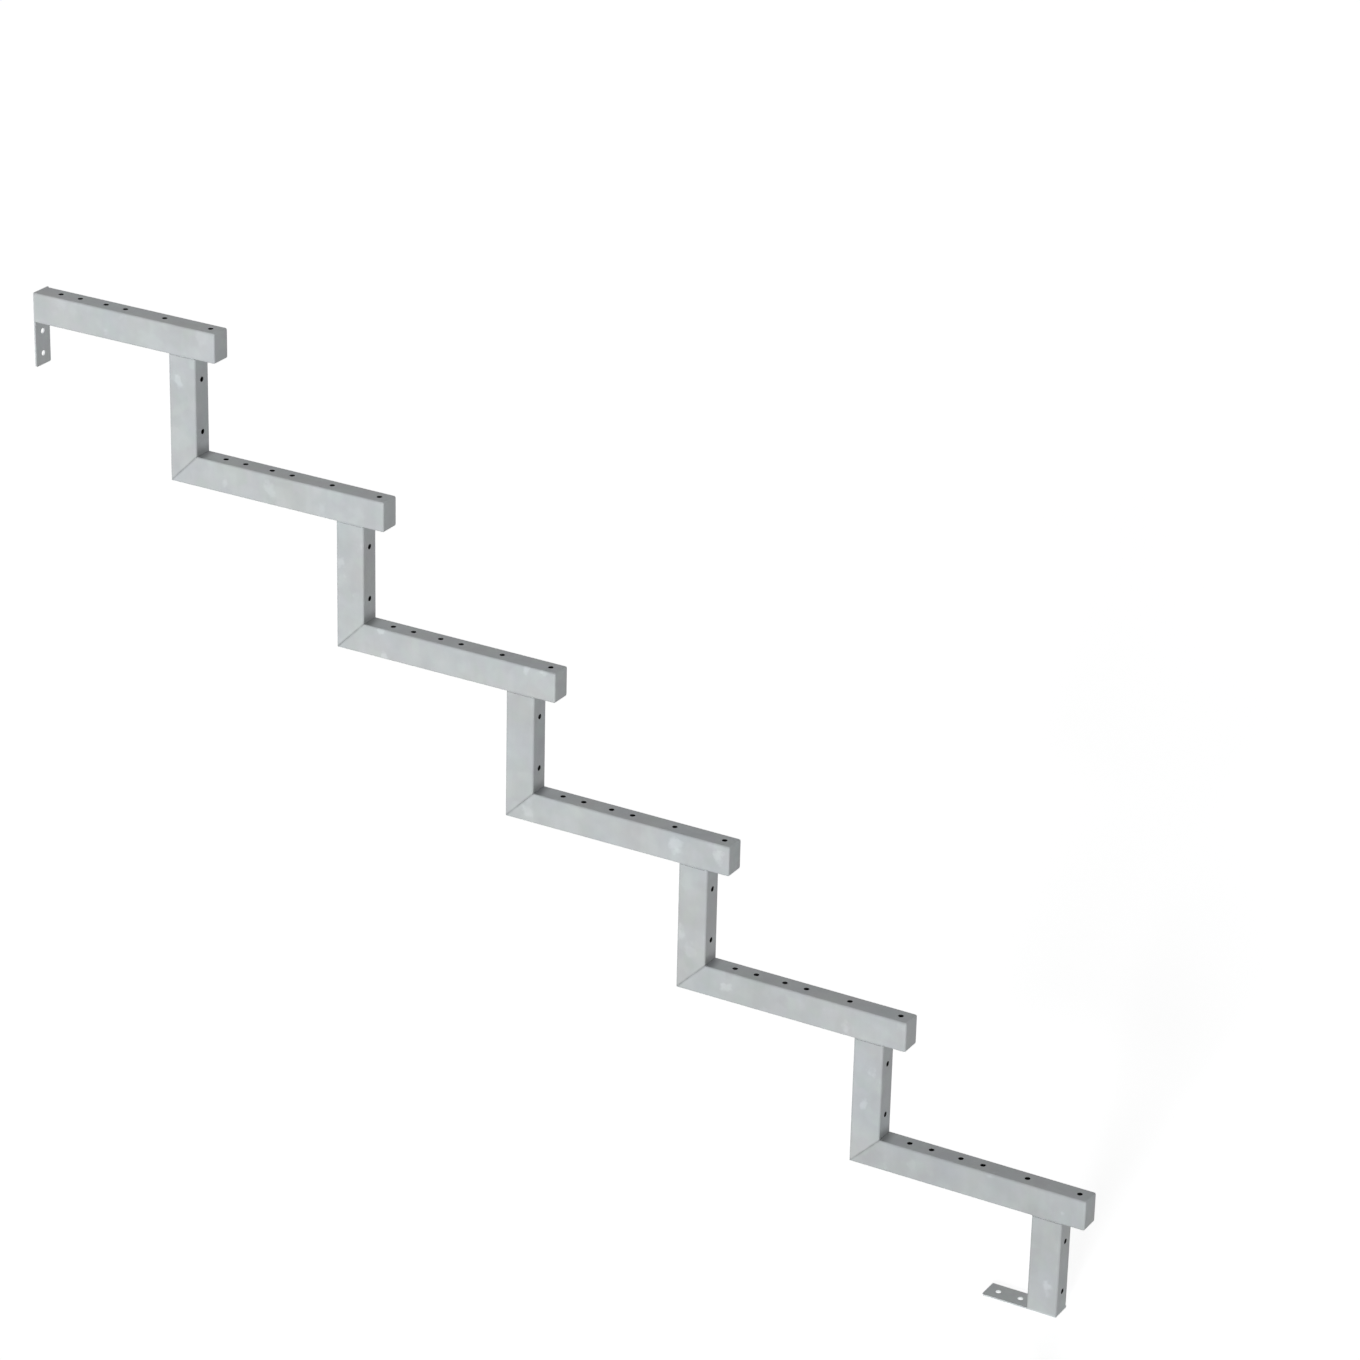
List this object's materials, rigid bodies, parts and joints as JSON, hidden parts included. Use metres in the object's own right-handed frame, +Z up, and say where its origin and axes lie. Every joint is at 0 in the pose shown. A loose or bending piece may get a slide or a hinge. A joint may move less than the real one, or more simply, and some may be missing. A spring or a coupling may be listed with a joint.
{
  "type": "stair stringer",
  "caption": "Galvanised steel stair stringer, a mitred zig-zag of rectangular tube that carries tread and riser boards, with a bolted foot plate and wall plate.",
  "frame": {"origin": "on the underside of the foot plate, midway between its two bolt holes", "axes": "+X along the going, away from the wall and down the flight; +Y across the flight; +Z up"},
  "size_m": [1.528, 0.03, 1.02],
  "materials": {
    "zinc_tube": "hot-dip galvanised rectangular steel tube, dull mid-grey zinc with soft cloudy patches",
    "zinc_cap": "hot-dip galvanised steel cap, welded and ground flush, dull mid-grey zinc",
    "zinc_plate": "hot-dip galvanised flat steel plate, dull mid-grey zinc"
  },
  "bodies": {
    "root": {"foot_plate": "zinc_plate", "wall_plate": "zinc_plate", "riser_post_1": "zinc_tube", "tread_bearer_1": "zinc_tube", "nose_cap_1": "zinc_cap", "riser_post_2": "zinc_tube", "tread_bearer_2": "zinc_tube", "nose_cap_2": "zinc_cap", "riser_post_3": "zinc_tube", "tread_bearer_3": "zinc_tube", "nose_cap_3": "zinc_cap", "riser_post_4": "zinc_tube", "tread_bearer_4": "zinc_tube", "nose_cap_4": "zinc_cap", "riser_post_5": "zinc_tube", "tread_bearer_5": "zinc_tube", "nose_cap_5": "zinc_cap", "riser_post_6": "zinc_tube", "tread_bearer_6": "zinc_tube", "nose_cap_6": "zinc_cap"}
  },
  "joints": []
}
